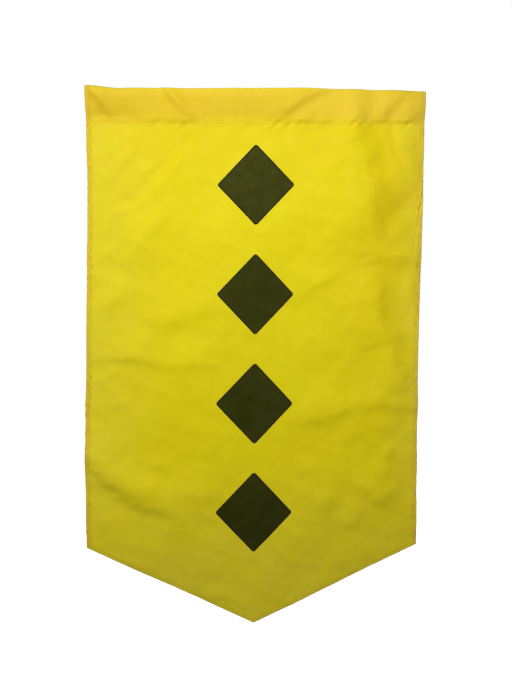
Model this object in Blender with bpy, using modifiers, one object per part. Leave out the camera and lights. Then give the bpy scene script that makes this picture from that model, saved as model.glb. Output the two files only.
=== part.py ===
"""A pointed fabric banner with an empty pole sleeve: nylon panel, folded sleeve, hems, appliques and threads.

Metres, +Z up. X runs along the pole, and the face of the banner looks towards -Y. The origin is on the
underside of the sleeve's top fold, at mid-width, where a pole put through the sleeve carries the banner.
"""

import math

import bmesh
import bpy
from mathutils import Matrix, Vector

# Driving dimensions
WIDTH = 0.762  # 30 in, hem to hem
LENGTH = 1.219  # 48 in, top fold to tip
POINT_DROP = 0.178  # 7 in, side corners to tip
SLEEVE_HEIGHT = 0.075  # top fold to the row of stitches that closes the sleeve
SLEEVE_DEPTH = 0.026  # how far the empty sleeve stands open, front to back
SEAM_BAND = 0.009  # layers sewn flat, from the stitches down to the turned edge
SIDE_HEM = 0.012
BOTTOM_HEM = 0.010
CLOTH = 0.0004  # one layer
GAP = 0.0003  # kept between layers that lie on each other
THREAD_RADIUS = 0.00025
STITCH_INSET = 0.0025  # stitches to the edge that they hold down

APPLIQUE_COUNT = 4
APPLIQUE_WIDTH = 0.174  # between the side corners, before they are rounded
APPLIQUE_HEIGHT = 0.184
APPLIQUE_CORNER = 0.005  # radius
APPLIQUE_PITCH = 0.248
FIRST_APPLIQUE = 0.216  # top fold to the centre of the top applique
BORDER_INSIDE = 0.0025  # satin stitches, inwards from the edge of the applique
BORDER_OUTSIDE = 0.001  # and outwards onto the panel

# Clearances that let the panel swing below the sleeve
HINGE_CLEARANCE = 0.0008  # hinge line to the cloth above it and below it
HEM_CLEARANCE = 0.003  # hinge line to the thicker side hems
MITRE_GAP = 0.0005  # taken off each end of a hem where two hems meet
HEM_STEP = 0.003  # along which the sleeve rises from the pole onto the hem inside it

# Worked out from the above
TOP = CLOTH  # outside of the top fold
SEAM_Z = TOP - SLEEVE_HEIGHT
BAND_Z = SEAM_Z - SEAM_BAND  # lower edge of the sleeve's layers
HINGE_Z = BAND_Z - HINGE_CLEARANCE
PANEL_TOP_Z = HINGE_Z - HINGE_CLEARANCE
TIP_Z = TOP - LENGTH
SIDE_Z = TIP_Z + POINT_DROP
HALF = WIDTH / 2
SLOPE = POINT_DROP / HALF
LAYER = CLOTH + GAP  # from one layer to the next
HEM_THICKNESS = 2 * CLOTH  # the edge is folded twice
HEM_Y = CLOTH / 2 + GAP + HEM_THICKNESS / 2
SEAM_BACK = 3 * LAYER  # front of the seam to its back, through both layers of the hems between them
THREAD_LIFT = GAP + THREAD_RADIUS  # a thread's centre above the cloth
FACE_THREAD_Y = -CLOTH / 2 - THREAD_LIFT
HEM_BACK_THREAD_Y = HEM_Y + HEM_THICKNESS / 2 + THREAD_LIFT
SEAM_BACK_THREAD_Y = SEAM_BACK + CLOTH / 2 + THREAD_LIFT

ARC_STEPS = 4  # segments in each quarter of a rounded corner
FOLD_STEPS = 4  # segments in each quarter of the sleeve's upper half
TAPER_STEPS = 6  # segments where the sleeve narrows to its seam

YELLOW = (0.83, 0.72, 0.02)
GOLD = (0.80, 0.58, 0.03)
OLIVE_BLACK = (0.026, 0.026, 0.006)
DARK_BROWN = (0.02, 0.012, 0.006)


def clear_scene():
    for obj in list(bpy.data.objects):
        bpy.data.objects.remove(obj)


def new_collection(name):
    collection = bpy.data.collections.new(name)
    bpy.context.scene.collection.children.link(collection)
    return collection


def new_material(name, colour, roughness):
    material = bpy.data.materials.new(name)
    material.use_nodes = True
    shader = material.node_tree.nodes["Principled BSDF"]
    shader.inputs["Base Color"].default_value = (*colour, 1)
    shader.inputs["Roughness"].default_value = roughness
    shader.inputs["Metallic"].default_value = 0
    return material


def add_node(name, data, material, parent):
    """Puts a mesh or curve in the scene as one named part of the banner."""
    obj = bpy.data.objects.new(name, data)
    data.materials.append(material)
    BANNER.objects.link(obj)
    obj.parent = parent
    obj.matrix_parent_inverse = Matrix.Translation(-parent.location)
    return obj


def flat_piece(name, outlines, thickness, y, material, parent):
    """A flat layer standing in the XZ plane, centred at depth y. A second outline is a hole."""
    curve = bpy.data.curves.new(name, "CURVE")
    curve.dimensions = "2D"
    curve.fill_mode = "BOTH"
    curve.extrude = thickness / 2
    for outline in outlines:
        spline = curve.splines.new("POLY")
        spline.points.add(len(outline) - 1)
        for point, (x, z) in zip(spline.points, outline):
            point.co = (x, z, 0, 1)
        spline.use_cyclic_u = True
    obj = add_node(name, curve, material, parent)
    obj.location = (0, y, 0)
    obj.rotation_euler = (math.pi / 2, 0, 0)
    return obj


def thread(name, path, parent):
    """A row of stitches along a path of (x, y, z) points, as one thread."""
    curve = bpy.data.curves.new(name, "CURVE")
    curve.dimensions = "3D"
    curve.bevel_depth = THREAD_RADIUS
    curve.bevel_resolution = 2
    curve.use_fill_caps = True
    spline = curve.splines.new("POLY")
    spline.points.add(len(path) - 1)
    for point, place in zip(spline.points, path):
        point.co = (*place, 1)
    return add_node(name, curve, THREAD, parent)


def seam_threads(name, ends, back_y, parent):
    """The needle thread on the face of a straight seam and the bobbin thread on its back."""
    for kind, y in (("needle", FACE_THREAD_Y), ("bobbin", back_y)):
        thread(f"{name}_{kind}_thread", [(x, y, z) for x, z in ends], parent)


def rounded(corners, radius):
    """An outline through these corners, anticlockwise, each rounded to an arc of this radius."""
    outline = []
    for i, corner in enumerate(corners):
        corner = Vector(corner)
        to_last = (Vector(corners[i - 1]) - corner).normalized()
        to_next = (Vector(corners[(i + 1) % len(corners)]) - corner).normalized()
        half_angle = to_last.angle(to_next) / 2
        centre = corner + (to_last + to_next).normalized() * radius / math.sin(half_angle)
        turn = math.pi - 2 * half_angle
        first = corner + to_last * radius / math.tan(half_angle) - centre
        for step in range(ARC_STEPS + 1):
            outline.append(centre + Matrix.Rotation(turn * step / ARC_STEPS, 2) @ first)
    return [tuple(point) for point in outline]


def lozenge(centre_z, grow):
    """The outline of a diamond with rounded corners, its sides moved out by grow."""
    wide = APPLIQUE_WIDTH / 2
    tall = APPLIQUE_HEIGHT / 2
    scale = 1 + grow * math.hypot(wide, tall) / (wide * tall)
    corners = [(0, -tall), (wide, 0), (0, tall), (-wide, 0)]
    return rounded([(x * scale, centre_z + z * scale) for x, z in corners], APPLIQUE_CORNER + grow)


def sleeve_profile(lift=0, foot_lift=0):
    """(y, z) of a line round the sleeve, from its front foot over the fold to its back foot.

    With no lift it is the outer face. lift moves the open part outwards, and foot_lift the sewn part.
    """
    deep = SLEEVE_DEPTH / 2 + lift
    foot = CLOTH / 2 + foot_lift
    tall = SLEEVE_HEIGHT / 2
    half_step = math.pi / 4 / FOLD_STEPS  # leaves a narrow flat at the very top
    front = [(-foot, BAND_Z)]
    for step in range(TAPER_STEPS):
        share = step / TAPER_STEPS
        bulge = (1 - math.cos(math.pi * share)) / 2
        front.append((-foot - (deep - foot) * bulge, SEAM_Z + tall * share))
    for step in range(FOLD_STEPS):
        angle = half_step * (2 * step + 1)
        rise = math.sin(angle) / math.cos(half_step)
        front.append((-deep * math.cos(angle), SEAM_Z + tall + (tall + lift) * rise))
    back = []
    for y, z in reversed(front):
        share = min(1, max(0, (SEAM_Z + tall - z) / tall))
        back.append((-y + SEAM_BACK * share, z))
    return front + back


def folded_layer(name, stations, depth, parent):
    """A layer of the sleeve through stations (x, lift) along the pole, depth below its outer face."""
    mesh = bpy.data.meshes.new(name)
    shape = bmesh.new()
    rows = [[shape.verts.new((x, y, z)) for y, z in sleeve_profile(lift)] for x, lift in stations]
    for row, after in zip(rows, rows[1:]):
        for i in range(len(row) - 1):
            shape.faces.new((row[i], after[i], after[i + 1], row[i + 1]))
    shape.to_mesh(mesh)
    shape.free()
    mesh.shade_smooth()
    obj = add_node(name, mesh, SLEEVE_NYLON, parent)
    shell = obj.modifiers.new("Cloth", "SOLIDIFY")
    shell.thickness = CLOTH
    shell.offset = -1 - 2 * depth / CLOTH
    shell.use_even_offset = True
    return obj


def make_sleeve(pivot):
    """The folded sleeve, the side hems folded in with it, its turned edge, and the threads that close it."""
    inner = HALF - SIDE_HEM
    step = inner - HEM_STEP
    stations = [(-HALF, LAYER), (-inner, LAYER), (-step, 0), (step, 0), (inner, LAYER), (HALF, LAYER)]
    folded_layer("pole_sleeve", stations, 0, pivot)
    for side, name in ((-1, "left"), (1, "right")):
        ends = sorted((side * HALF, side * inner))
        folded_layer(name + "_sleeve_hem", [(x, LAYER) for x in ends], LAYER, pivot)
        row_x = side * (inner + STITCH_INSET)
        row = sleeve_profile(LAYER + GAP + THREAD_LIFT, GAP + THREAD_LIFT)[1:-1]
        thread(name + "_sleeve_hem_thread", [(row_x, y, z) for y, z in row], pivot)
    edge_x = inner - MITRE_GAP
    turned = [(-edge_x, BAND_Z), (edge_x, BAND_Z), (edge_x, SEAM_Z), (-edge_x, SEAM_Z)]
    flat_piece("sleeve_turned_edge", [turned], HEM_THICKNESS, SEAM_BACK / 2, SLEEVE_NYLON, pivot)
    row_z = SEAM_Z - STITCH_INSET
    seam_threads("sleeve_seam", ((-HALF, row_z), (HALF, row_z)), SEAM_BACK_THREAD_Y, pivot)


def make_panel(pivot):
    outline = [(-HALF, PANEL_TOP_Z), (-HALF, SIDE_Z), (0, TIP_Z), (HALF, SIDE_Z), (HALF, PANEL_TOP_Z)]
    flat_piece("banner_panel", [outline], CLOTH, 0, NYLON, pivot)


def slanted(inset, x):
    """z at x of the line that runs inset inside the right-hand sloping edge."""
    return TIP_Z + SLOPE * x + inset * math.hypot(1, SLOPE)


def mirrored(outline, side):
    return [(side * x, z) for x, z in outline]


def make_hems(pivot):
    """Two side hems and two bottom hems on the back, mitred, with the threads that hold them."""
    top = HINGE_Z - HEM_CLEARANCE
    inner = HALF - SIDE_HEM
    row = inner + STITCH_INSET
    along = math.hypot(1, SLOPE)
    cut_x = MITRE_GAP / along
    bottom_row = BOTTOM_HEM - STITCH_INSET
    for side, name in ((-1, "left"), (1, "right")):
        upright = [
            (HALF, top),
            (HALF, SIDE_Z + MITRE_GAP),
            (inner, slanted(BOTTOM_HEM, inner) + MITRE_GAP),
            (inner, top),
        ]
        slant = [
            (cut_x, slanted(0, cut_x)),
            (HALF - cut_x, slanted(0, HALF - cut_x)),
            (inner - cut_x, slanted(BOTTOM_HEM, inner - cut_x)),
            (cut_x, slanted(BOTTOM_HEM, cut_x)),
        ]
        flat_piece(name + "_side_hem", [mirrored(upright, side)], HEM_THICKNESS, HEM_Y, NYLON, pivot)
        flat_piece(name + "_bottom_hem", [mirrored(slant, side)], HEM_THICKNESS, HEM_Y, NYLON, pivot)
        clear = 2 * MITRE_GAP
        side_ends = ((side * row, top), (side * row, slanted(bottom_row, row) + clear))
        seam_threads(name + "_side_hem", side_ends, HEM_BACK_THREAD_Y, pivot)
        bottom_ends = [(side * x, slanted(bottom_row, x)) for x in (clear, row - clear)]
        seam_threads(name + "_bottom_hem", bottom_ends, HEM_BACK_THREAD_Y, pivot)


def make_appliques(pivot):
    """Plain diamonds sewn on the face, each with a border of satin stitches over its cut edge."""
    for number in range(APPLIQUE_COUNT):
        centre_z = TOP - FIRST_APPLIQUE - number * APPLIQUE_PITCH
        name = f"applique_{number + 1}"
        flat_piece(name, [lozenge(centre_z, 0)], CLOTH, -LAYER, DARK_NYLON, pivot)
        border = [lozenge(centre_z, BORDER_OUTSIDE), lozenge(centre_z, -BORDER_INSIDE)]
        flat_piece(name + "_border", border, CLOTH, -2 * LAYER, DARK_THREAD, pivot)


clear_scene()
BANNER = new_collection("pointed_banner")
NYLON = new_material("yellow_nylon", YELLOW, 0.45)
SLEEVE_NYLON = new_material("doubled_yellow_nylon", GOLD, 0.45)
DARK_NYLON = new_material("dark_nylon", OLIVE_BLACK, 0.55)
THREAD = new_material("yellow_thread", YELLOW, 0.4)
DARK_THREAD = new_material("dark_thread", DARK_BROWN, 0.4)

sleeve_pivot = bpy.data.objects.new("sleeve_pivot", None)
panel_pivot = bpy.data.objects.new("panel_pivot", None)
for empty in (sleeve_pivot, panel_pivot):
    BANNER.objects.link(empty)
panel_pivot.location = (0, 0, HINGE_Z)

make_sleeve(sleeve_pivot)
make_panel(panel_pivot)
make_hems(panel_pivot)
make_appliques(panel_pivot)
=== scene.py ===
"""Looks for the pointed banner: one sheet of creased nylon with sewn hems, sleeve, diamonds and stitches.

Every piece of cloth or thread is placed by its flat coordinates on the sheet before it was hung: s across the
width from the middle, and t along the length from the top fold, down the face and, below zero, down the back.
"""

import math

import bpy
import numpy as np
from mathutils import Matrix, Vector


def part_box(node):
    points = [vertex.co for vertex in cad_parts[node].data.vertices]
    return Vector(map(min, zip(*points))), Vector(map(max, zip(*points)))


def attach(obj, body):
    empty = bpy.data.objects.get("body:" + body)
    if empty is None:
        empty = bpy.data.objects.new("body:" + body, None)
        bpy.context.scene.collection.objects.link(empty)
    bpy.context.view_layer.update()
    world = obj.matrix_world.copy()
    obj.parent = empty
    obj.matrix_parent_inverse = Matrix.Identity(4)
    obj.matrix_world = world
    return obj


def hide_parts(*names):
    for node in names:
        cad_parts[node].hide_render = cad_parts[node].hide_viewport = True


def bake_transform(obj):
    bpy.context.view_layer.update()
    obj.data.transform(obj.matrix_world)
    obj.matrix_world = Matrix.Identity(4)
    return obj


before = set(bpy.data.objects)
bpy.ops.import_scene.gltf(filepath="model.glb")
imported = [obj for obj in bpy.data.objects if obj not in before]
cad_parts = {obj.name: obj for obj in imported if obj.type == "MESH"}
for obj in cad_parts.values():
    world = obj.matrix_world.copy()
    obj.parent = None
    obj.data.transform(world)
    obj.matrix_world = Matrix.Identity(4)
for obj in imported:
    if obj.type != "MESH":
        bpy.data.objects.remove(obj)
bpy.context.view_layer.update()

# Sizes read from the frame
PANEL_LOW, PANEL_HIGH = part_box("banner_panel")
SLEEVE_LOW, SLEEVE_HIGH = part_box("pole_sleeve")
SIDE_HEM_LOW, SIDE_HEM_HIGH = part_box("left_side_hem")
_, TURNED_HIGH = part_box("sleeve_turned_edge")
SEAM_ROW_LOW, SEAM_ROW_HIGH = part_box("sleeve_seam_needle_thread")

END_RISE = 0.0007  # how much higher the top fold stands where the hems run inside it

HALF = PANEL_HIGH.x
TOP_Z = SLEEVE_HIGH.z - END_RISE  # outside of the top fold
FOOT = TOP_Z - SLEEVE_LOW.z  # from the fold to the lower edge of the sewn layers
SEAM = TOP_Z - TURNED_HIGH.z  # from the fold to the top of the sewn layers
SEAM_ROW = TOP_Z - (SEAM_ROW_LOW.z + SEAM_ROW_HIGH.z) / 2
LENGTH = TOP_Z - PANEL_LOW.z
SIDE_LENGTH = TOP_Z - SIDE_HEM_LOW.z
SLOPE = (LENGTH - SIDE_LENGTH) / HALF
SIDE_HEM = SIDE_HEM_HIGH.x - SIDE_HEM_LOW.x
BOTTOM_HEM = 0.010
POINT_LEAN = math.hypot(1, SLOPE)  # length down the cloth for each unit square to a sloping edge

# Cloth
CLOTH = 0.0003  # thickness of one layer
GAP = 0.00012  # between layers that lie on each other
HEM_THICKNESS = 0.0007
SEAM_STACK = CLOTH + HEM_THICKNESS + 2 * GAP  # from the front layer to the back layer where they are sewn
PANEL_HEM_LIFT = -(CLOTH / 2 + GAP + HEM_THICKNESS / 2)  # from the middle of the sheet to the middle of a hem
SLEEVE_HEM_LIFT = -(CLOTH / 2 + GAP + 0.00015)  # less, so that the hem stays inside the sleeve
HEM_CLEARANCE = 0.0004  # from a bottom hem to the middle of the point and to the side hem
DIAMOND_LIFT = 0.0007  # from the middle of the sheet to the middle of a diamond
DIAMOND_CORNER = 0.005  # radius

# Thread
THREAD = 0.0003  # radius
STITCH_GAP = 0.0010
STITCH_PITCH = 0.0034 + STITCH_GAP
STITCH_SHARES = [0.0, 0.16, 0.5, 0.84, 1.0]  # places along a stitch, and how high it is there, in thread radii
STITCH_RISE = [-0.8, 0.7, 1.0, 0.7, -0.8]
ROW_INSET = 0.0022  # a row of stitches to the edge of the cloth that it holds down
TWIN_ROW = 0.0040  # between the two rows of a side hem
SATIN_THREAD = 0.00029  # radius
SATIN_PITCH = 0.00062
SATIN_IN = 0.0024  # from a diamond's edge inwards and outwards
SATIN_OUT = 0.0010
THREAD_SIDES = 6

# How finely the cloth is divided
FINE_CELL = 0.0029
COARSE_CELL = 0.0047
FINE_BAND = 0.020
DIAMOND_CELL = 0.004
DIAMOND_RINGS = 22
FOLD_STEPS = 13  # points along the curve of a fold

SLEEVE_PUFF = 0.0105  # half the depth of a wide open sleeve, of which this one has a share
FOLD_DEPTH = 1.15  # how strongly the folds show
FOLD_CREST = 0.25  # how far a fold's top is rounded over, as a share of its width
FOLD_REACH = 2.6  # how far from its curve a fold still lifts the cloth, in widths
NORMAL_REACH = 0.0006  # how far apart points are taken to find the cloth's slope


# ---------------------------------------------------------------- shape of the cloth

def waves(s, t, size, seed, count=14):
    """Smooth noise, mostly from -1 to 1: the sum of plane waves about size long in random directions."""
    rng = np.random.default_rng(seed)
    total = np.zeros(np.broadcast(s, t).shape)
    for _ in range(count):
        angle = rng.uniform(0, math.pi)
        number = 2 * math.pi / (size * rng.uniform(0.7, 1.6))
        phase = rng.uniform(0, 2 * math.pi)
        total = total + np.cos(number * (s * math.cos(angle) + t * math.sin(angle)) + phase)
    return total / math.sqrt(count)


def smooth(value, low, high):
    """0 below low, 1 above high, and an S-curve between them."""
    share = np.clip((value - low) / (high - low), 0, 1)
    return share * share * (3 - 2 * share)


def fold(s, t, start, middle, end, height, right, left):
    """How far a fold along the curve start-middle-end lifts the cloth: height at its crest, less to its ends.

    right and left are the widths of its two sides. A narrow side is steep and a wide one gentle.
    """
    steps = np.linspace(0, 1, FOLD_STEPS)[:, None]
    a, b, c = (np.array(p) for p in (start, middle, end))
    line = (1 - steps) ** 2 * a + 2 * steps * (1 - steps) * b + steps ** 2 * c
    reach = FOLD_REACH * max(right, left)
    low, high = line.min(0) - reach, line.max(0) + reach
    near = (s > low[0]) & (s < high[0]) & (t > low[1]) & (t < high[1])
    s, t = s[near], t[near]
    best = np.full(s.shape, np.inf)
    along = np.zeros(s.shape)
    width = np.ones(s.shape)
    for i, (p, q) in enumerate(zip(line, line[1:])):
        d = q - p
        share = np.clip(((s - p[0]) * d[0] + (t - p[1]) * d[1]) / (d @ d), 0, 1)
        distance = np.hypot(s - p[0] - share * d[0], t - p[1] - share * d[1])
        on_right = d[0] * (t - p[1]) - d[1] * (s - p[0]) > 0
        nearer = distance < best
        best = np.where(nearer, distance, best)
        along = np.where(nearer, (i + share) / (len(line) - 1), along)
        width = np.where(nearer, np.where(on_right, right, left), width)
    fade = np.sin(np.pi * np.clip(along, 0, 1)) ** 0.8
    crest = FOLD_CREST * width
    from_crest = np.sqrt(best ** 2 + crest ** 2) - crest
    total = np.zeros(near.shape)
    total[near] = height * fade * np.exp(-(from_crest / width) ** 1.5)
    return total


# Folds in the single layer below the sleeve: start, middle, end, height, and the width of the side on the
# right-hand and on the left-hand of someone walking from start to end, seen from the front.
PANEL_FOLDS = [
    # The upper left: from the sleeve down to the side
    ((-0.330, 0.290), (-0.200, 0.190), (-0.130, 0.080), -0.0028, 0.008, 0.018),
    ((-0.320, 0.300), (-0.185, 0.200), (-0.120, 0.090), 0.0040, 0.040, 0.009),
    ((-0.350, 0.265), (-0.260, 0.210), (-0.165, 0.120), 0.0018, 0.014, 0.012),
    ((-0.305, 0.410), (-0.260, 0.335), (-0.190, 0.250), 0.0078, 0.034, 0.015),
    ((-0.345, 0.400), (-0.305, 0.340), (-0.255, 0.290), 0.0035, 0.014, 0.012),
    ((-0.340, 0.220), (-0.295, 0.165), (-0.255, 0.085), 0.0052, 0.013, 0.009),
    ((-0.355, 0.180), (-0.325, 0.140), (-0.305, 0.090), 0.0044, 0.012, 0.009),
    ((-0.360, 0.330), (-0.330, 0.290), (-0.285, 0.265), 0.0027, 0.012, 0.012),
    ((-0.235, 0.555), (-0.180, 0.505), (-0.070, 0.485), 0.0040, 0.018, 0.030),
    ((-0.355, 0.525), (-0.340, 0.480), (-0.280, 0.415), 0.0040, 0.022, 0.014),
    ((-0.190, 0.210), (-0.170, 0.150), (-0.165, 0.085), 0.0020, 0.009, 0.009),
    # The long level creases where it was folded away
    ((-0.385, 0.610), (-0.290, 0.590), (-0.210, 0.620), 0.0046, 0.015, 0.036),
    ((-0.235, 0.620), (-0.145, 0.615), (-0.060, 0.620), 0.0044, 0.015, 0.036),
    ((-0.370, 0.660), (-0.345, 0.660), (-0.305, 0.635), 0.0016, 0.009, 0.014),
    ((0.070, 0.750), (0.165, 0.745), (0.225, 0.720), 0.0050, 0.017, 0.040),
    ((0.175, 0.730), (0.255, 0.715), (0.400, 0.710), 0.0052, 0.018, 0.040),
    ((-0.365, 0.735), (-0.320, 0.720), (-0.270, 0.700), 0.0014, 0.010, 0.016),
    # The upper right, where it hangs away from the pole
    ((0.080, 0.485), (0.130, 0.435), (0.220, 0.400), 0.0036, 0.014, 0.040),
    ((0.185, 0.410), (0.285, 0.370), (0.380, 0.375), 0.0034, 0.015, 0.030),
    ((0.190, 0.125), (0.215, 0.100), (0.260, 0.080), 0.0065, 0.020, 0.022),
    ((0.260, 0.400), (0.270, 0.245), (0.210, 0.070), 0.0165, 0.038, 0.100),
    ((0.255, 0.225), (0.305, 0.190), (0.360, 0.225), 0.0055, 0.040, 0.024),
    ((0.275, 0.390), (0.330, 0.370), (0.385, 0.380), 0.0050, 0.034, 0.020),
    ((0.295, 0.590), (0.270, 0.485), (0.270, 0.385), 0.0120, 0.028, 0.060),
    ((0.345, 0.690), (0.315, 0.610), (0.310, 0.525), 0.0090, 0.020, 0.030),
    ((0.365, 0.265), (0.345, 0.145), (0.320, 0.090), 0.0052, 0.026, 0.028),
    ((0.280, 0.095), (0.315, 0.150), (0.345, 0.235), 0.0020, 0.014, 0.008),
    ((0.310, 0.095), (0.345, 0.088), (0.390, 0.095), 0.0034, 0.026, 0.010),
    ((0.355, 0.485), (0.360, 0.450), (0.355, 0.410), 0.0026, 0.014, 0.014),
    ((0.310, 0.350), (0.325, 0.310), (0.370, 0.290), 0.0020, 0.014, 0.016),
    # The lower left
    ((-0.410, 0.760), (-0.350, 0.910), (-0.145, 0.960), 0.0120, 0.028, 0.034),
    ((-0.385, 0.830), (-0.345, 0.930), (-0.200, 0.985), -0.0050, 0.024, 0.018),
    ((-0.255, 0.855), (-0.210, 0.850), (-0.175, 0.830), 0.0015, 0.014, 0.020),
    ((-0.210, 0.925), (-0.140, 0.915), (-0.065, 0.920), 0.0018, 0.016, 0.024),
    ((-0.370, 0.985), (-0.345, 0.980), (-0.315, 0.965), 0.0017, 0.012, 0.014),
    # The lower right
    ((0.140, 0.965), (0.170, 0.940), (0.200, 0.900), 0.0034, 0.020, 0.030),
    ((0.215, 1.000), (0.235, 0.975), (0.250, 0.940), 0.0032, 0.015, 0.022),
    ((0.275, 0.945), (0.300, 0.925), (0.340, 0.895), 0.0056, 0.024, 0.030),
    ((0.300, 0.850), (0.315, 0.830), (0.330, 0.805), 0.0030, 0.012, 0.014),
    ((0.255, 0.920), (0.280, 0.885), (0.315, 0.855), 0.0026, 0.018, 0.024),
    ((0.195, 0.805), (0.230, 0.780), (0.270, 0.770), 0.0022, 0.012, 0.020),
    ((0.090, 0.855), (0.120, 0.865), (0.165, 0.865), 0.0020, 0.014, 0.020),
    ((0.270, 0.770), (0.315, 0.750), (0.330, 0.780), 0.0020, 0.012, 0.014),
    ((0.150, 0.600), (0.175, 0.590), (0.200, 0.605), 0.0015, 0.012, 0.016),
    ((0.175, 1.075), (0.235, 1.075), (0.300, 1.055), 0.0025, 0.018, 0.026),
    ((-0.115, 1.170), (-0.080, 1.150), (-0.035, 1.145), 0.0020, 0.016, 0.020),
]

# Folds across the front of the sleeve, by the same measures
SLEEVE_FOLDS = [
    ((-0.385, 0.000), (-0.340, 0.020), (-0.315, 0.080), 0.0080, 0.009, 0.022),
    ((-0.360, 0.050), (-0.325, 0.078), (-0.265, 0.064), -0.0070, 0.017, 0.040),
    ((-0.395, 0.010), (-0.320, 0.005), (-0.225, 0.020), 0.0080, 0.038, 0.012),
    ((-0.215, -0.015), (-0.190, 0.025), (-0.140, 0.066), 0.0062, 0.006, 0.014),
    ((-0.125, 0.020), (-0.030, 0.010), (0.060, 0.025), 0.0028, 0.030, 0.020),
    ((0.045, 0.080), (0.070, 0.025), (0.180, -0.005), 0.0092, 0.010, 0.040),
    ((0.080, 0.080), (0.120, 0.045), (0.185, 0.020), 0.0024, 0.026, 0.010),
    ((0.150, 0.030), (0.205, 0.020), (0.265, 0.030), 0.0014, 0.026, 0.016),
    ((0.275, 0.075), (0.290, 0.025), (0.345, 0.000), 0.0070, 0.014, 0.030),
    ((0.310, 0.080), (0.325, 0.045), (0.375, 0.025), 0.0028, 0.024, 0.010),
    ((-0.255, 0.075), (-0.225, 0.060), (-0.185, 0.070), 0.0030, 0.008, 0.012),
    ((0.185, 0.075), (0.200, 0.060), (0.215, 0.050), 0.0016, 0.008, 0.007),
    ((0.335, 0.080), (0.350, 0.060), (0.370, 0.055), 0.0014, 0.008, 0.010),
    ((0.275, 0.010), (0.330, 0.010), (0.395, 0.015), 0.0040, 0.030, 0.012),
    ((-0.195, 0.080), (-0.165, 0.070), (-0.115, 0.060), 0.0036, 0.008, 0.026),
    ((0.080, 0.083), (0.100, 0.068), (0.135, 0.062), 0.0028, 0.009, 0.022),
    ((0.135, 0.083), (0.150, 0.072), (0.180, 0.066), 0.0024, 0.008, 0.018),
    ((0.205, 0.083), (0.220, 0.070), (0.250, 0.062), 0.0026, 0.008, 0.018),
    ((0.255, 0.083), (0.275, 0.068), (0.300, 0.064), 0.0028, 0.009, 0.020),
    ((0.315, 0.083), (0.330, 0.070), (0.365, 0.062), 0.0026, 0.009, 0.018),
]


def pucker(along, away, size, reach, seed):
    """Uneven small ripples that a row of tight stitches draws up, fading away from it."""
    level = np.zeros_like(along)
    ripples = waves(along, level, size, seed) + 0.5 * waves(along + 0.35 * away, level, 2.1 * size, seed + 1)
    strength = 0.75 + 0.35 * waves(along, level, 8 * size, seed + 2)
    return ripples * strength * np.exp(-(away / reach) ** 2)


def bottom(s):
    """t of the pointed edge at s."""
    return LENGTH - SLOPE * np.abs(s)


# Uneven swells over the whole panel: height, size and seed
SWELLS = [(0.0022, 0.36, 11), (0.0009, 0.13, 12), (0.00034, 0.046, 13), (0.00012, 0.021, 15)]


def relief(s, t):
    """How far the face stands towards the viewer at (s, t), on the single layer below the sleeve."""
    # it swells a little towards the viewer and curls away again at the point
    height = 0.0100 * smooth(t, 0.15, 0.95) - 0.0300 * smooth(t, 0.88, 1.35)
    for rise, size, seed in SWELLS:
        height = height + rise * waves(s, t, size, seed)
    # sharp small creases all over
    height = height - 0.0007 * np.abs(waves(s, t, 0.085, 14, count=6))
    # the folds, whose curves wander a little
    wobble_s = s + 0.0035 * waves(s, t, 0.090, 21) + 0.0012 * waves(s, t, 0.030, 23)
    wobble_t = t + 0.0035 * waves(s, t, 0.090, 22) + 0.0012 * waves(s, t, 0.030, 24)
    for row in PANEL_FOLDS:
        height = height + FOLD_DEPTH * fold(wobble_s, wobble_t, *row)
    # ripples along the side hems, different on the left and on the right, and along the sloping hems
    from_side = HALF - np.abs(s)
    from_point = (bottom(s) - t) / POINT_LEAN
    height = height + 0.0010 * pucker(t + 8 * s, from_side, 0.022, 0.016, 31)
    height = height + 0.0004 * pucker(s, from_point, 0.026, 0.014, 41)
    return height


def sleeve_section(share):
    """Half depth (0 to 1) and drop (0 to 1) of the open sleeve, share of the way from the fold to the seam."""
    steps = 40
    angle = np.linspace(math.pi / 2, 0, steps)
    upper_depth, upper_drop = np.cos(angle), (1 - np.sin(angle)) / 2
    taper = np.linspace(0, 1, steps)[1:]
    lower_depth, lower_drop = (1 + np.cos(np.pi * taper)) / 2, 0.5 + taper / 2
    depth = np.concatenate([upper_depth, lower_depth])
    drop = np.concatenate([upper_drop, lower_drop])
    step = np.hypot(np.diff(depth) * SLEEVE_PUFF, np.diff(drop) * SEAM)
    length = np.concatenate([[0], np.cumsum(step)])
    length = length / length[-1]
    return np.interp(share, length, depth), np.interp(share, length, drop)


def puff(s):
    """Half the sleeve's depth at s: nearly flat along its middle, and more open at its ends."""
    share = 0.17 + 0.04 * waves(s, np.zeros_like(s), 0.22, 61)
    share = share + 0.40 * np.exp(-((HALF - np.abs(s)) / 0.045) ** 2)
    return SLEEVE_PUFF * np.clip(share, 0.12, 1.0)


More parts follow.
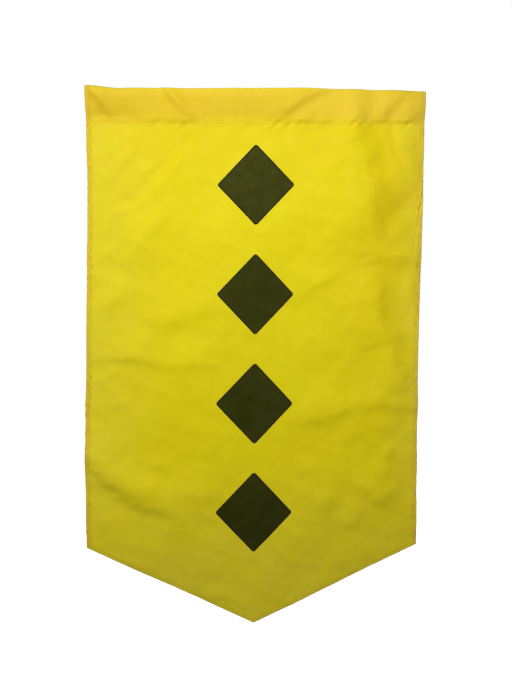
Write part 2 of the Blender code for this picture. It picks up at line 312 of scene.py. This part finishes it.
def surface(s, t):
    """Where the point (s, t) of the flat sheet is, as an array of points."""
    s, t = np.broadcast_arrays(np.asarray(s, float), np.asarray(t, float))
    level = np.zeros_like(s)
    front = t >= 0
    below = np.abs(t)  # the top fold
    above_seam, above_foot, under_foot = SEAM - below, FOOT - below, below - FOOT
    share = np.clip(below / SEAM, 0, 1)
    depth, drop = sleeve_section(share)
    # the sewn layers and the panel hang straight down
    z = TOP_Z - np.where(below < SEAM, drop * SEAM, below)
    # the sleeve, front and back, carries on as the panel leaves it at its foot, rounded over 12 mm
    face = relief(s, FOOT + (under_foot + np.sqrt(under_foot ** 2 + 0.012 ** 2)) / 2)
    face = face * (1 - 0.4 * smooth(above_seam, 0, SEAM))
    # ripples on both sides of the seam, and smaller ones at its stitches on the right
    from_seam = np.maximum(np.maximum(above_seam, under_foot), 0)
    face = face + 0.0012 * pucker(s + below, from_seam, 0.016, 0.008, 51)
    from_stitches = np.abs(t - SEAM_ROW)
    face = face + 0.0004 * smooth(s, 0.0, 0.2) * pucker(s + below, from_stitches, 0.011, 0.004, 55)
    # the sleeve's own folds, weaker on its back
    crumple = level
    for row in SLEEVE_FOLDS:
        crumple = crumple + FOLD_DEPTH * fold(s, t, *row)
    crumple = crumple + 0.0005 * waves(s, t, 0.06, 71) * smooth(above_seam, 0, 0.03)
    y = -face + np.where(front, -1.0, 1.0) * puff(s) * depth
    y = y - crumple * np.where(front, 1.0, 0.35) * smooth(above_seam, -0.004, 0.006)
    y = y + np.where(front, 0.0, SEAM_STACK * smooth(share, 0.0, 0.8))
    # the top fold isn't quite level, and lifts at its left end
    lift = 0.0022 * np.cos(math.pi * (s - 0.05) / (2.2 * HALF)) - 0.0045 * smooth(s, 0.05, HALF)
    lift = lift + 0.0050 * np.exp(-((s + HALF) / 0.035) ** 2) - 0.0012 * np.exp(-((s + 0.31) / 0.022) ** 2)
    z = z + lift * smooth(above_foot, -0.02, FOOT)
    # the cloth splays at the ends of the sleeve, its sides wander, and it leans a little to the left
    splay = 1 + 0.010 * smooth(above_foot, -0.10, FOOT)
    x = s * splay + 0.0009 * waves(t, level, 0.16, 81) * s / HALF
    x = x - 0.0060 * smooth(t, 0.1, 1.2)
    # the right-hand side is drawn in, and its corner hangs a little short
    x = x - smooth(s, 0, HALF) * (0.0110 * smooth(t, 0.2, 0.7) - 0.0040 * smooth(t, 0.85, 1.05))
    z = z + 0.0050 * smooth(s, 0, HALF) * smooth(t, 0.3, 1.0)
    return np.stack([x, y, z], axis=-1)


def outward(s, t):
    """The unit normal of the sheet's face at (s, t)."""
    across = surface(s + NORMAL_REACH, t) - surface(s - NORMAL_REACH, t)
    down = surface(s, t + NORMAL_REACH) - surface(s, t - NORMAL_REACH)
    normal = np.cross(down, across)
    return normal / np.linalg.norm(normal, axis=-1, keepdims=True)


def place(s, t, lift):
    """The point (s, t), lifted off the face of the sheet by lift."""
    s, t = np.broadcast_arrays(np.asarray(s, float), np.asarray(t, float))
    lift = np.broadcast_to(np.asarray(lift, float), s.shape)
    return surface(s, t) + outward(s, t) * lift[..., None]


# ---------------------------------------------------------------- meshes

def new_mesh(name, points, faces, material, flat, facts=()):
    """A smooth-shaded mesh with its flat coordinates and other per-point facts as attributes."""
    mesh = bpy.data.meshes.new(name)
    mesh.from_pydata(np.asarray(points).reshape(-1, 3).tolist(), [], faces)
    mesh.validate()
    mesh.shade_smooth()
    mesh.materials.append(material)
    values = np.zeros((len(mesh.vertices), 3), np.float32)
    values[:, :2] = np.asarray(flat).reshape(-1, 2)
    mesh.attributes.new("flat", "FLOAT_VECTOR", "POINT").data.foreach_set("vector", values.ravel())
    for label, values in dict(facts).items():
        data = np.asarray(values, np.float32).ravel()
        mesh.attributes.new(label, "FLOAT", "POINT").data.foreach_set("value", data)
    obj = bpy.data.objects.new(name, mesh)
    bpy.context.scene.collection.objects.link(obj)
    return obj


def shell_faces(rows, columns):
    """Faces of a closed shell whose points are a front grid of rows by columns, and then a back one."""
    faces = []
    size = rows * columns
    for r in range(rows - 1):
        for c in range(columns - 1):
            a = r * columns + c
            faces.append((a, a + columns, a + columns + 1, a + 1))
            faces.append((size + a, size + a + 1, size + a + columns + 1, size + a + columns))
    rim = list(range(columns))
    rim += [r * columns + columns - 1 for r in range(1, rows)]
    rim += [(rows - 1) * columns + c for c in range(columns - 2, -1, -1)]
    rim += [r * columns for r in range(rows - 2, 0, -1)]
    for a, b in zip(rim, rim[1:] + rim[:1]):
        faces.append((a, b, size + b, size + a))
    return faces


def sheet_mesh(name, s, t, lift, thickness, facts):
    """A closed layer of yellow nylon over the grids s and t, its middle at lift.

    facts holds a function of s, t and whether this is the front, for each attribute.
    """
    front = place(s, t, lift + thickness / 2)
    back = place(s, t, lift - thickness / 2)
    rows, columns = s.shape
    flat = np.concatenate([np.stack([s, t], -1).reshape(-1, 2)] * 2)
    values = {}
    for label, make in facts.items():
        values[label] = np.concatenate([make(s, t, True).ravel(), make(s, t, False).ravel()])
    points = np.concatenate([front.reshape(-1, 3), back.reshape(-1, 3)])
    return new_mesh(name, points, shell_faces(rows, columns), NYLON, flat, values)


def spaced(low, high, fine_at):
    """Places from low to high, close together near each of fine_at."""
    places = [low]
    while places[-1] < high:
        here = places[-1]
        near = min(abs(here - f) for f in fine_at)
        cell = FINE_CELL if near < FINE_BAND else COARSE_CELL
        places.append(here + cell)
    places = np.array(places)
    return low + (places - low) * (high - low) / (places[-1] - low)


def stitches(frame_name, paths, side=1, lift=CLOTH / 2):
    """Rows of stitches along paths of flat points, each stitch a short arch of thread that dives into the cloth.

    side is 1 on the face of the sheet and -1 on its back, and lift is from its middle to what is sewn.
    """
    share = np.array(STITCH_SHARES)
    rise = np.array(STITCH_RISE) * THREAD + lift
    flat = []
    for path in paths:
        path = np.asarray(path, float)
        run = np.concatenate([[0], np.cumsum(np.hypot(*np.diff(path, axis=0).T))])
        count = max(1, int(run[-1] / STITCH_PITCH))
        pitch = run[-1] / count
        where = (np.arange(count)[:, None] + share * (1 - STITCH_GAP / pitch)) * pitch + STITCH_GAP / 2
        flat.append(np.stack([np.interp(where, run, path[:, 0]), np.interp(where, run, path[:, 1])], -1))
    flat = np.concatenate(flat)
    normal = outward(flat[..., 0], flat[..., 1]) * side
    centre = surface(flat[..., 0], flat[..., 1]) + normal * rise[None, :, None]
    return tubes(frame_name.replace("thread", "stitches"), centre, normal, THREAD, GOLD_STITCHES, flat)


def tubes(name, centre, normal, radius, material, flat):
    """Round threads through centre[n, k], thinner at their two ends, with normal pointing off the cloth."""
    count, rings = centre.shape[:2]
    sides = THREAD_SIDES
    along = np.gradient(centre, axis=1)
    along /= np.linalg.norm(along, axis=-1, keepdims=True)
    across = np.cross(along, normal)
    across /= np.linalg.norm(across, axis=-1, keepdims=True)
    up = np.cross(across, along)
    girth = np.full(rings, radius)
    girth[[0, -1]] *= 0.6
    angle = (np.arange(sides) * 2 * math.pi / sides)[None, None, :, None]
    ring = np.cos(angle) * across[:, :, None] + np.sin(angle) * up[:, :, None]
    points = centre[:, :, None] + ring * girth[None, :, None, None]
    faces = []
    for n in range(count):
        base = n * rings * sides
        for r in range(rings - 1):
            for k in range(sides):
                a, b = base + r * sides + k, base + r * sides + (k + 1) % sides
                faces.append((a, b, b + sides, a + sides))
        faces.append(tuple(base + k for k in range(sides - 1, -1, -1)))
        faces.append(tuple(base + (rings - 1) * sides + k for k in range(sides)))
    flat = np.repeat(flat[:, :, None], sides, axis=2)
    return new_mesh(name, points, faces, material, flat)


# ---------------------------------------------------------------- materials

def shader_of(material):
    return material.node_tree.nodes["Principled BSDF"]


def new_material(name, roughness, sheen=0.0, specular=0.3, gleam=(1, 1, 1)):
    material = bpy.data.materials.new(name)
    material.use_nodes = True
    shader = shader_of(material)
    shader.inputs["Roughness"].default_value = roughness
    shader.inputs["Sheen Weight"].default_value = sheen
    shader.inputs["Sheen Roughness"].default_value = 0.35
    shader.inputs["Specular IOR Level"].default_value = specular
    shader.inputs["Specular Tint"].default_value = (*gleam, 1)
    shader.inputs["Sheen Tint"].default_value = (*gleam, 1)
    return material


class Nodes:
    """Short ways to add the nodes of one material."""

    def __init__(self, material):
        self.tree = material.node_tree
        self.shader = shader_of(material)

    def add(self, kind, **settings):
        node = self.tree.nodes.new(kind)
        for key, value in settings.items():
            setattr(node, key, value)
        return node

    def link(self, source, target):
        self.tree.links.new(source, target)

    def attribute(self, name, output):
        return self.add("ShaderNodeAttribute", attribute_name=name).outputs[output]

    def maths(self, operation, a, b=0.0):
        node = self.add("ShaderNodeMath", operation=operation)
        for socket, value in zip(node.inputs, (a, b)):
            if isinstance(value, (int, float)):
                socket.default_value = value
            else:
                self.link(value, socket)
        return node.outputs[0]

    def noise(self, vector, scale, detail=3.0, roughness=0.55):
        node = self.add("ShaderNodeTexNoise")
        node.inputs["Scale"].default_value = scale
        node.inputs["Detail"].default_value = detail
        node.inputs["Roughness"].default_value = roughness
        self.link(vector, node.inputs["Vector"])
        return node.outputs["Fac"]

    def mix(self, share, a, b):
        """The colour a, mixed with a share of b."""
        node = self.add("ShaderNodeMix", data_type="RGBA")
        for socket, value in ((node.inputs[0], share), (node.inputs[6], a), (node.inputs[7], b)):
            if isinstance(value, tuple):
                socket.default_value = (*value, 1)
            else:
                self.link(value, socket)
        return node.outputs[2]

    def spread(self, value, low, high, to_low, to_high):
        """value, stretched so that low becomes to_low and high becomes to_high, and held there beyond."""
        node = self.add("ShaderNodeMapRange")
        node.inputs["From Min"].default_value = low
        node.inputs["From Max"].default_value = high
        node.inputs["To Min"].default_value = to_low
        node.inputs["To Max"].default_value = to_high
        self.link(value, node.inputs["Value"])
        return node.outputs["Result"]

    def part(self, vector, number):
        parts = self.add("ShaderNodeSeparateXYZ")
        self.link(vector, parts.inputs[0])
        return parts.outputs[number]

    def weave(self, vector, pitch):
        """Threads over and under at this pitch, as a height from 0 to 1."""
        parts = self.add("ShaderNodeSeparateXYZ")
        self.link(vector, parts.inputs[0])
        number = 2 * math.pi / pitch
        across = self.maths("SINE", self.maths("MULTIPLY", parts.outputs[0], number))
        along = self.maths("SINE", self.maths("MULTIPLY", parts.outputs[1], number))
        return self.maths("ADD", self.maths("MULTIPLY", self.maths("MULTIPLY", across, along), 0.5), 0.5)

    def bump(self, height, strength, distance):
        node = self.add("ShaderNodeBump")
        node.inputs["Strength"].default_value = strength
        node.inputs["Distance"].default_value = distance
        self.link(height, node.inputs["Height"])
        self.link(node.outputs[0], self.shader.inputs["Normal"])


# Colours: the single layer, the doubled cloth, the diamonds, what they gleam, and the threads
YELLOW = (0.88, 0.755, 0.006)
DEEP_YELLOW = (0.85, 0.690, 0.006)
WARM_YELLOW = (0.83, 0.610, 0.010)
PALE_YELLOW = (0.86, 0.715, 0.044)
SHADOWED = (0.30, 0.25, 0.006)
GOLD = (0.80, 0.545, 0.026)
PALE_GOLD = (0.95, 0.655, 0.055)
OLIVE_BLACK = (0.019, 0.024, 0.0020)
OLIVE_BLACK_WORN = (0.029, 0.033, 0.0040)
SHEEN_YELLOW = (1.0, 0.90, 0.35)
SHEEN_OLIVE = (1.0, 0.96, 0.20)
GOLD_THREAD = (0.68, 0.48, 0.040)
BROWN_THREAD = (0.030, 0.017, 0.006)


WEAVE = 0.0009  # pitch of the nylon's threads


def nylon_material():
    """Thin flag nylon: lemon yellow in one layer, warmer in two or more (partly painted shade), with painted
    shade where a diamond backs it.
    """
    material = new_material("yellow_nylon", 0.58, sheen=0.08, specular=0.24, gleam=SHEEN_YELLOW)
    nodes = Nodes(material)
    flat = nodes.attribute("flat", "Vector")
    layers = nodes.attribute("layers", "Fac")
    painted_diamond_shade = nodes.attribute("painted_diamond_shade", "Fac")
    cloudy = nodes.spread(nodes.noise(flat, 7.0), 0.3, 0.7, 0.0, 1.0)
    streaks = nodes.spread(nodes.noise(flat, 160.0, 2.0), 0.35, 0.65, 0.0, 1.0)
    single = nodes.mix(nodes.maths("MULTIPLY", cloudy, 0.55), YELLOW, DEEP_YELLOW)
    single = nodes.mix(nodes.maths("MULTIPLY", streaks, 0.10), single, DEEP_YELLOW)
    across, down = nodes.part(flat, 0), nodes.part(flat, 1)
    # painted shade: warmer and darker under the seam and on the upper right
    on_right = nodes.spread(across, 0.16, 0.30, 0.0, 1.0)
    high_right = nodes.maths("MULTIPLY", on_right, nodes.spread(down, 0.35, 0.60, 1.0, 0.3))
    under_seam = nodes.spread(down, 0.08, 0.28, 0.75, 0.0)
    warmer = nodes.maths("MULTIPLY", nodes.maths("MAXIMUM", high_right, under_seam), nodes.noise(flat, 6.0))
    single = nodes.mix(warmer, single, WARM_YELLOW)
    # paler along the sides and at the point: a painted sheen
    near_left = nodes.spread(across, -0.20, -HALF, 0.0, 1.0)
    near_side = nodes.maths("MAXIMUM", near_left, nodes.spread(across, 0.30, HALF, 0.0, 1.0))
    near_foot = nodes.spread(down, 0.85, 1.10, 0.0, 1.0)
    painted_sheen = nodes.maths("MULTIPLY", nodes.maths("MAXIMUM", near_side, near_foot), nodes.noise(flat, 9.0))
    single = nodes.mix(painted_sheen, single, PALE_YELLOW)
    # the doubled cloth is paler at the top fold, a painted highlight, and on the right, a painted sheen
    painted_fold_highlight = nodes.spread(nodes.maths("ABSOLUTE", down), 0.0, 0.026, 0.9, 0.0)
    right_end = nodes.spread(across, 0.06, 0.13, 0.0, 0.6)
    gold = nodes.mix(nodes.maths("MAXIMUM", painted_fold_highlight, right_end), GOLD, PALE_GOLD)
    # warmer where the cloth is doubled: partly its own colour, partly painted shade
    colour = nodes.mix(layers, single, gold)
    # painted shade on the back where a diamond lies on the face
    colour = nodes.mix(nodes.maths("MULTIPLY", painted_diamond_shade, 0.80), colour, SHADOWED)
    nodes.link(colour, nodes.shader.inputs["Base Color"])
    roughness = nodes.spread(nodes.noise(flat, 30.0), 0.3, 0.7, 0.52, 0.64)
    nodes.link(roughness, nodes.shader.inputs["Roughness"])
    weave = nodes.maths("MULTIPLY", nodes.weave(flat, WEAVE), 0.10)
    nodes.bump(nodes.maths("ADD", weave, nodes.noise(flat, 24.0, 5.0, 0.6)), 0.22, 0.0012)
    return material


def dark_nylon_material():
    """The diamonds' nylon: almost black, with an olive cast."""
    material = new_material("dark_nylon", 0.62, specular=0.30, gleam=SHEEN_OLIVE)
    nodes = Nodes(material)
    flat = nodes.attribute("flat", "Vector")
    cloudy = nodes.spread(nodes.noise(flat, 12.0), 0.3, 0.7, 0.0, 1.0)
    nodes.link(nodes.mix(cloudy, OLIVE_BLACK, OLIVE_BLACK_WORN), nodes.shader.inputs["Base Color"])
    roughness = nodes.spread(nodes.noise(flat, 40.0), 0.3, 0.7, 0.58, 0.70)
    nodes.link(roughness, nodes.shader.inputs["Roughness"])
    weave = nodes.maths("MULTIPLY", nodes.weave(flat, WEAVE), 0.12)
    nodes.bump(nodes.maths("ADD", weave, nodes.noise(flat, 30.0, 4.0)), 0.25, 0.0012)
    return material


def thread_material(name, colour, darker):
    """Twisted sewing thread, a little uneven in colour along its length."""
    material = new_material(name, 0.45, sheen=0.2)
    nodes = Nodes(material)
    flat = nodes.attribute("flat", "Vector")
    nodes.link(nodes.mix(nodes.noise(flat, 500.0, 2.0), colour, darker), nodes.shader.inputs["Base Color"])
    nodes.bump(nodes.weave(flat, 0.0005), 0.4, 0.0001)
    return material


NYLON = nylon_material()
DARK_NYLON = dark_nylon_material()
GOLD_STITCHES = thread_material("yellow_thread", GOLD_THREAD, tuple(0.7 * c for c in GOLD_THREAD))
BROWN_STITCHES = thread_material("dark_thread", BROWN_THREAD, tuple(0.5 * c for c in BROWN_THREAD))

# ---------------------------------------------------------------- the sheet

CUT = DIAMOND_CORNER * (math.sqrt(2) - 1)  # what the rounding takes off each corner
DIAMONDS = []  # t of each one's centre, and half its width and height before its corners are rounded
for number in range(1, 5):
    low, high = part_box(f"applique_{number}")
    DIAMONDS.append((TOP_Z - (low.z + high.z) / 2, high.x + CUT, (high.z - low.z) / 2 + CUT))


def doubled(s, t, front):
    """How much warmer the cloth looks for the layers behind it, partly painted shade: 0 for one layer, 0.8 on the
    sleeve.
    """
    from_middle = np.abs(s)
    side = 0.34 * smooth(from_middle, HALF - SIDE_HEM - 0.002, HALF - SIDE_HEM + 0.002)
    side = side + 0.36 * smooth(from_middle, HALF - 0.004, HALF - 0.001)
    from_point = (bottom(s) - t) / POINT_LEAN
    foot = 0.14 * (1 - smooth(from_point, BOTTOM_HEM - 0.002, BOTTOM_HEM + 0.002))
    foot = foot + 0.22 * (1 - smooth(from_point, 0.0005, 0.003))
    sleeve = 1 - smooth(t + 0.005 * waves(s, t, 0.028, 91), SEAM - 0.024, FOOT + 0.006)
    # less warm along the top fold: a painted highlight
    painted_fold_light = 1 - smooth(np.abs(t), 0.002, 0.014)
    return np.clip((0.80 - 0.35 * painted_fold_light) * sleeve + np.maximum(side, foot), 0, 1)


def painted_diamond_shade(s, t, front):
    """1 on the back of the single layer where a diamond is sewn to its face: painted shade of the diamond seen
    through the cloth.
    """
    shade = np.zeros_like(s)
    if not front:
        for centre, wide, tall in DIAMONDS:
            inside = 1 - np.abs(s) / wide - np.abs(t - centre) / tall
            shade = np.maximum(shade, smooth(inside, -0.02, 0.02))
    return shade


def make_cloth():
    """The whole sheet in one piece: back of the sleeve, fold, face of the sleeve, panel and point."""
    columns = spaced(-HALF, HALF, (-HALF, HALF))
    upper = spaced(-FOOT, FOOT, (-FOOT, 0.0, FOOT))[:-1]
    lower = (spaced(FOOT, LENGTH, (FOOT, LENGTH)) - FOOT) / (LENGTH - FOOT)
    s_upper, t_upper = np.meshgrid(columns, upper)
    s_lower, share = np.meshgrid(columns, lower)
    t_lower = FOOT + share * (bottom(s_lower) - FOOT)
    s, t = np.concatenate([s_upper, s_lower]), np.concatenate([t_upper, t_lower])
    return sheet_mesh("banner_cloth", s, t, 0.0, CLOTH, {"layers": doubled, "painted_diamond_shade": painted_diamond_shade})


def folded_strip(name, s_of, t_of, lengthwise, width, lift):
    """A flat hem: a closed strip along a path, width wide, with s_of and t_of giving its flat points."""
    across = np.array([0, 0.04, 0.35, 0.65, 0.96, 1.0]) * width
    along, inward = np.meshgrid(lengthwise, across, indexing="ij")
    s, t = s_of(along, inward), t_of(along, inward)
    first_along = (s[1, 0] - s[0, 0], t[1, 0] - t[0, 0])
    first_inward = (s[0, 1] - s[0, 0], t[0, 1] - t[0, 0])
    if first_along[0] * first_inward[1] - first_along[1] * first_inward[0] > 0:
        s, t = s[:, ::-1], t[:, ::-1]
    # a hem is doubled cloth, warmer: partly its own colour, partly painted shade
    facts = {"layers": lambda s, t, front: np.full_like(s, 0.9)}
    return sheet_mesh(name + "_fold", s, t, lift, HEM_THICKNESS, facts)


def make_hems():
    """The hems folded to the back of the panel and inside the sleeve, by the frame's names for them."""
    made = {}

    def add(name, *shape):
        made[name] = folded_strip(name, *shape)

    down = spaced(FOOT, SIDE_LENGTH - 0.0005, (0.0,))
    outwards = spaced(HEM_CLEARANCE, HALF - HEM_CLEARANCE, (-1.0,))
    round_sleeve = np.linspace(-FOOT, FOOT, 90)
    for side, hand in ((-1, "left"), (1, "right")):
        # a is along a hem and i is inwards from the edge of the cloth
        def inward_s(a, i):
            return side * (HALF - i)

        def mitred_t(a, i):
            return np.minimum(a, bottom(HALF - i) - BOTTOM_HEM * POINT_LEAN * np.minimum(1, i / SIDE_HEM))

        def mitred_from_middle(a, i):
            return np.minimum(a, HALF - SIDE_HEM * i / BOTTOM_HEM - HEM_CLEARANCE)

        add(hand + "_side_hem", inward_s, mitred_t, down, SIDE_HEM, PANEL_HEM_LIFT)
        add(hand + "_bottom_hem",
            lambda a, i: side * mitred_from_middle(a, i),
            lambda a, i: bottom(mitred_from_middle(a, i)) - i * POINT_LEAN,
            outwards, BOTTOM_HEM, PANEL_HEM_LIFT)
        add(hand + "_sleeve_hem", inward_s, lambda a, i: a, round_sleeve, SIDE_HEM, SLEEVE_HEM_LIFT)
    return made


def diamond_outline(centre, wide, tall, cell):
    """Flat points round a diamond with rounded corners, about cell apart, and the direction out of it at each."""
    corners = np.array([(0, tall), (wide, 0), (0, -tall), (-wide, 0)], float)
    points, outs = [], []
    for i in range(4):
        here, after, before = corners[i], corners[(i + 1) % 4], corners[i - 1]
        into, away = here - before, after - here
        into, away = into / np.linalg.norm(into), away / np.linalg.norm(away)
        out_before = np.array([-into[1], into[0]])
        out_after = np.array([-away[1], away[0]])
        half_turn = math.acos(np.clip(out_before @ out_after, -1, 1)) / 2
        middle = here - here / np.linalg.norm(here) * DIAMOND_CORNER / math.cos(half_turn)
        arc_steps = max(4, round(2 * half_turn * DIAMOND_CORNER / cell))
        for k in range(arc_steps):
            share = k / arc_steps
            out = np.sin((1 - share) * 2 * half_turn) * out_before + np.sin(share * 2 * half_turn) * out_after
            out = out / np.linalg.norm(out)
            points.append(middle + out * DIAMOND_CORNER)
            outs.append(out)
        start = middle + out_after * DIAMOND_CORNER
        straight = np.linalg.norm(after - here) - 2 * DIAMOND_CORNER * math.tan(half_turn)
        finish_at = start + away * straight
        steps = round(np.linalg.norm(finish_at - start) / cell)
        for k in range(steps):
            points.append(start + (finish_at - start) * k / steps)
            outs.append(out_after)
    points, outs = np.array(points), np.array(outs)
    if ((points * outs).sum(1) < 0).mean() > 0.5:
        outs = -outs
    return points + np.array([0, centre]), outs


def make_diamond(name, centre, wide, tall):
    """A diamond of dark nylon lying on the face: rings of points from its middle to its outline."""
    outline, _ = diamond_outline(centre, wide, tall, DIAMOND_CELL)
    middle = np.array([0.0, centre])
    shares = np.arange(1, DIAMOND_RINGS + 1) / DIAMOND_RINGS
    flat = middle + shares[:, None, None] * (outline - middle)
    flat = np.concatenate([middle[None], flat.reshape(-1, 2)])
    front = place(flat[:, 0], flat[:, 1], DIAMOND_LIFT + CLOTH / 2)
    back = place(flat[:, 0], flat[:, 1], DIAMOND_LIFT - CLOTH / 2)
    count, size = len(outline), len(flat)
    faces = []
    for k in range(count):
        after = (k + 1) % count
        faces.append((0, 1 + k, 1 + after))
        faces.append((size, size + 1 + after, size + 1 + k))
        for r in range(DIAMOND_RINGS - 1):
            a, b = 1 + r * count + k, 1 + r * count + after
            faces.append((a, a + count, b + count, b))
            faces.append((size + a, size + b, size + b + count, size + a + count))
        a, b = 1 + (DIAMOND_RINGS - 1) * count + k, 1 + (DIAMOND_RINGS - 1) * count + after
        faces.append((a, size + a, size + b, b))
    return new_mesh(name, np.concatenate([front, back]), faces, DARK_NYLON, np.concatenate([flat, flat]))


def make_satin_border(name, centre, wide, tall, seed):
    """Satin stitches over the cut edge of a diamond, each a thread from the diamond to the panel."""
    outline, outs = diamond_outline(centre, wide, tall, SATIN_PITCH)
    rng = np.random.default_rng(seed)
    inner = -SATIN_IN + rng.uniform(-0.00025, 0.00025, len(outline))
    outer = SATIN_OUT + rng.uniform(-0.0002, 0.0002, len(outline))
    share = np.array([0.0, 0.2, 0.55, 0.8, 1.0])
    reach = inner[:, None] + (outer - inner)[:, None] * share
    flat = outline[:, None] + outs[:, None] * reach[..., None]
    on_diamond = DIAMOND_LIFT + CLOTH / 2
    rise = np.array([on_diamond - 0.0002, on_diamond + 0.0003, on_diamond + 0.0004, 0.0007, 0.0001])
    normal = outward(flat[..., 0], flat[..., 1])
    centres = surface(flat[..., 0], flat[..., 1]) + normal * rise[None, :, None]
    return tubes(name, centres, normal, SATIN_THREAD, BROWN_STITCHES, flat)


def twin_rows(side, start, stop, count):
    """The two rows of a side hem, as flat points from t = start to t = stop."""
    inner = side * (HALF - SIDE_HEM + ROW_INSET)
    t = np.linspace(start, stop, count)
    return [np.stack([np.full(count, s), t], -1) for s in (inner, inner + side * TWIN_ROW)]


def make_threads():
    """Every row of stitches that the frame has, by the frame's name for it."""
    made = {}

    def add(name, rows, **settings):
        made[name] = stitches(name, rows, **settings)

    on_back = {"side": -1, "lift": CLOTH / 2 + GAP + HEM_THICKNESS}
    across = np.linspace(-HALF + 0.001, HALF - 0.001, 400)
    add("sleeve_seam_needle_thread", [np.stack([across, np.full_like(across, SEAM_ROW)], -1)])
    add("sleeve_seam_bobbin_thread", [np.stack([across, np.full_like(across, -SEAM_ROW)], -1)])
    for side, hand in ((-1, "left"), (1, "right")):
        add(hand + "_sleeve_hem_thread", twin_rows(side, -SEAM + 0.002, SEAM - 0.001, 100))
        rows = twin_rows(side, FOOT, SIDE_LENGTH - 0.010, 400)
        add(hand + "_side_hem_needle_thread", rows)
        add(hand + "_side_hem_bobbin_thread", rows, **on_back)
        s = np.linspace(0.001, HALF - 0.010, 300) * side
        rows = [np.stack([s, bottom(s) - (BOTTOM_HEM - ROW_INSET) * POINT_LEAN], -1)]
        add(hand + "_bottom_hem_needle_thread", rows)
        add(hand + "_bottom_hem_bobbin_thread", rows, **on_back)
    return made


# ---------------------------------------------------------------- stage, camera and light

STAGE_TOP = PANEL_LOW.z - 0.16
STAGE_SIZE = 60


def make_stage():
    """A plain pale floor under the hanging banner."""
    bpy.ops.mesh.primitive_plane_add(size=STAGE_SIZE, location=(0, 0, STAGE_TOP))
    floor = bpy.context.object
    floor.name = "stage_floor"
    material = bpy.data.materials.new("pale_floor")
    material.use_nodes = True
    shader = shader_of(material)
    shader.inputs["Base Color"].default_value = (0.84, 0.84, 0.83, 1)
    shader.inputs["Roughness"].default_value = 0.9
    shader.inputs["Emission Color"].default_value = (1, 1, 1, 1)
    shader.inputs["Emission Strength"].default_value = 0.86
    floor.data.materials.append(material)
    floor.visible_diffuse = False  # it shows and takes shadows, but sends no light up
    floor.visible_glossy = False


CAMERA_DISTANCE = 2.2
BANNER_SHARE = 0.7825  # of the picture's height


def make_camera():
    """Nearly square on: a little to the left of the middle and a little above it."""
    data = bpy.data.cameras.new("camera")
    data.sensor_width = 36
    camera = bpy.data.objects.new("camera", data)
    bpy.context.scene.collection.objects.link(camera)
    azimuth, elevation = math.radians(-1.2), math.radians(1.2)
    aim = Vector((0, 0, TOP_Z - LENGTH / 2 + 0.036))
    level = math.cos(elevation)
    back = Vector((math.sin(azimuth) * level, -math.cos(azimuth) * level, math.sin(elevation)))
    camera.location = aim + back * CAMERA_DISTANCE
    camera.rotation_euler = (-back).to_track_quat("-Z", "Y").to_euler()
    data.lens = data.sensor_width * CAMERA_DISTANCE * BANNER_SHARE / LENGTH
    bpy.context.scene.camera = camera


def area_light(name, place_at, aim, size, power):
    """A white disk of light at place_at that faces aim."""
    data = bpy.data.lights.new(name, "AREA")
    data.shape = "DISK"
    data.size = size
    data.energy = power
    light = bpy.data.objects.new(name, data)
    light.location = place_at
    light.rotation_euler = (Vector(aim) - Vector(place_at)).to_track_quat("-Z", "Y").to_euler()
    bpy.context.scene.collection.objects.link(light)


def make_light():
    """A soft light in front of the top, a weak one far to the left, one behind, and an even surround."""
    area_light("key", (-0.13, -1.35, 0.29), (0.12, 0.0, -0.52), 0.45, 15.5)
    area_light("fill", (-1.8, -1.6, -0.4), (0.0, 0.0, -0.6), 0.8, 7.5)
    area_light("back", (0.6, 2.2, 0.6), (0.0, 0.0, -0.6), 1.2, 22)
    world = bpy.data.worlds.new("surround")
    world.use_nodes = True
    tree = world.node_tree
    background = tree.nodes["Background"]
    background.inputs["Color"].default_value = (1, 1, 1, 1)
    ray = tree.nodes.new("ShaderNodeLightPath")
    strength = tree.nodes.new("ShaderNodeMapRange")
    strength.inputs["To Min"].default_value = 0.18
    strength.inputs["To Max"].default_value = 1.0
    tree.links.new(ray.outputs["Is Camera Ray"], strength.inputs["Value"])
    tree.links.new(strength.outputs["Result"], background.inputs["Strength"])
    bpy.context.scene.world = world
    bpy.context.scene.view_settings.view_transform = "Standard"


make_stage()
make_camera()
make_light()

cloth = make_cloth()
hems = make_hems()
threads = make_threads()
diamonds, borders = [], []
for number, (centre, wide, tall) in enumerate(DIAMONDS, start=1):
    diamonds.append(make_diamond(f"diamond_{number}", centre, wide, tall))
    borders.append(make_satin_border(f"diamond_{number}_satin_border", centre, wide, tall, 90 + number))

# ---------------------------------------------------------------- what moves with what


def carry(piece, name):
    """Joins a piece above the hinge to the sleeve and one below it to the panel; one across the hinge stays
    unjoined.
    """
    if name == "banner_cloth" or "_side_hem" in name:
        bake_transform(piece)
    elif "sleeve" in name:
        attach(piece, "sleeve")
    else:
        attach(piece, "panel")


for name, piece in {**hems, **threads}.items():
    carry(piece, name)
    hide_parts(name)
for piece in diamonds + borders:
    carry(piece, piece.name)
carry(cloth, "banner_cloth")
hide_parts("banner_panel", "pole_sleeve", "sleeve_turned_edge")
for number, (diamond, border) in enumerate(zip(diamonds, borders), start=1):
    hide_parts(f"applique_{number}")
    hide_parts(f"applique_{number}_border")
    centre, wide, tall = DIAMONDS[number - 1]
